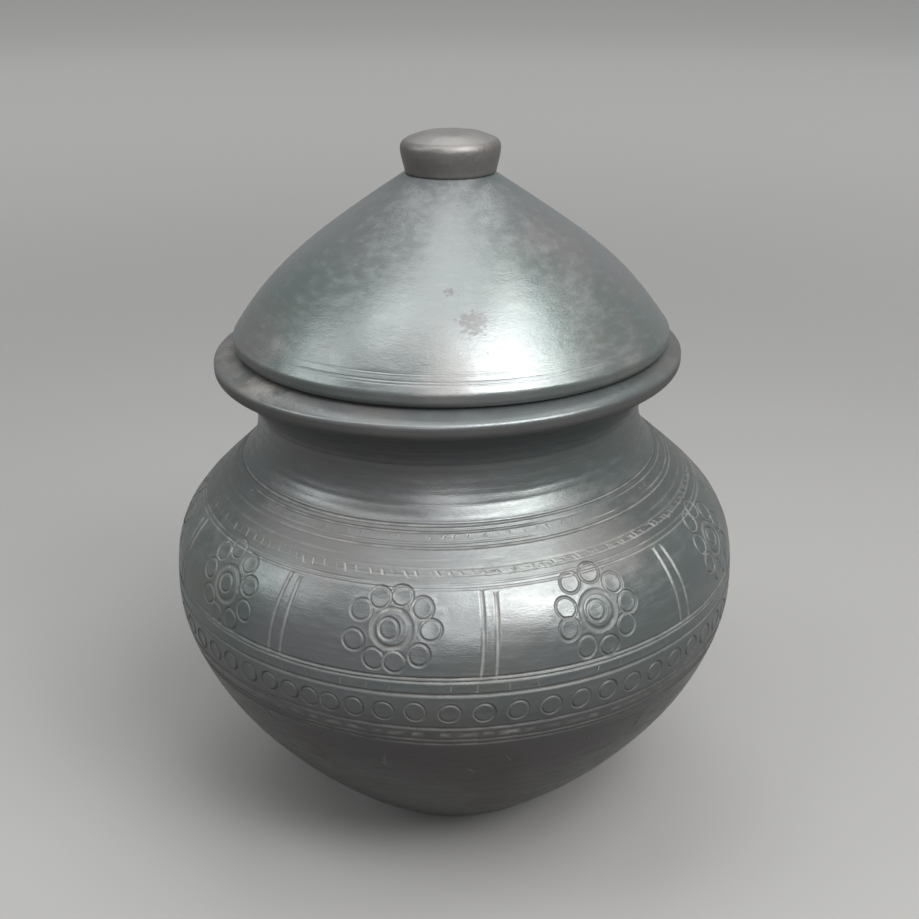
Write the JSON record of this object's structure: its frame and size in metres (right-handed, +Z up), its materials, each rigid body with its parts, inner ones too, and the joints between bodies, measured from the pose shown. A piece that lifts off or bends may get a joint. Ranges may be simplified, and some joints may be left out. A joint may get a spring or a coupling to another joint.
{
  "type": "lidded clay pot",
  "caption": "Burnished black clay pot with a globular body, waisted neck, flared rim and a hollow conical lift-off lid with a drum knob; incised bands and stamped ring flowers.",
  "frame": {"origin": "middle of the flat base, on the surface that the pot stands on", "axes": "+Z up along the pot's axis towards the knob; the pot is round, so +X and +Y are equal"},
  "size_m": [0.2, 0.2, 0.2445],
  "materials": {
    "pot_clay": "burnished satin, incised and stamped, unglazed",
    "lid_clay": "burnished satin, graphite-like sheen, unglazed",
    "knob_clay": "burnished, a little duller and browner than the lid"
  },
  "bodies": {
    "pot": {"pot_body": "pot_clay"},
    "lid": {"lid": "lid_clay", "lid_knob": "knob_clay"}
  },
  "joints": [
    {"name": "lid_lift", "type": "slide", "parent": "pot", "child": "lid", "axis": [0, 0, 1], "range_m": [0, 0.12]}
  ]
}
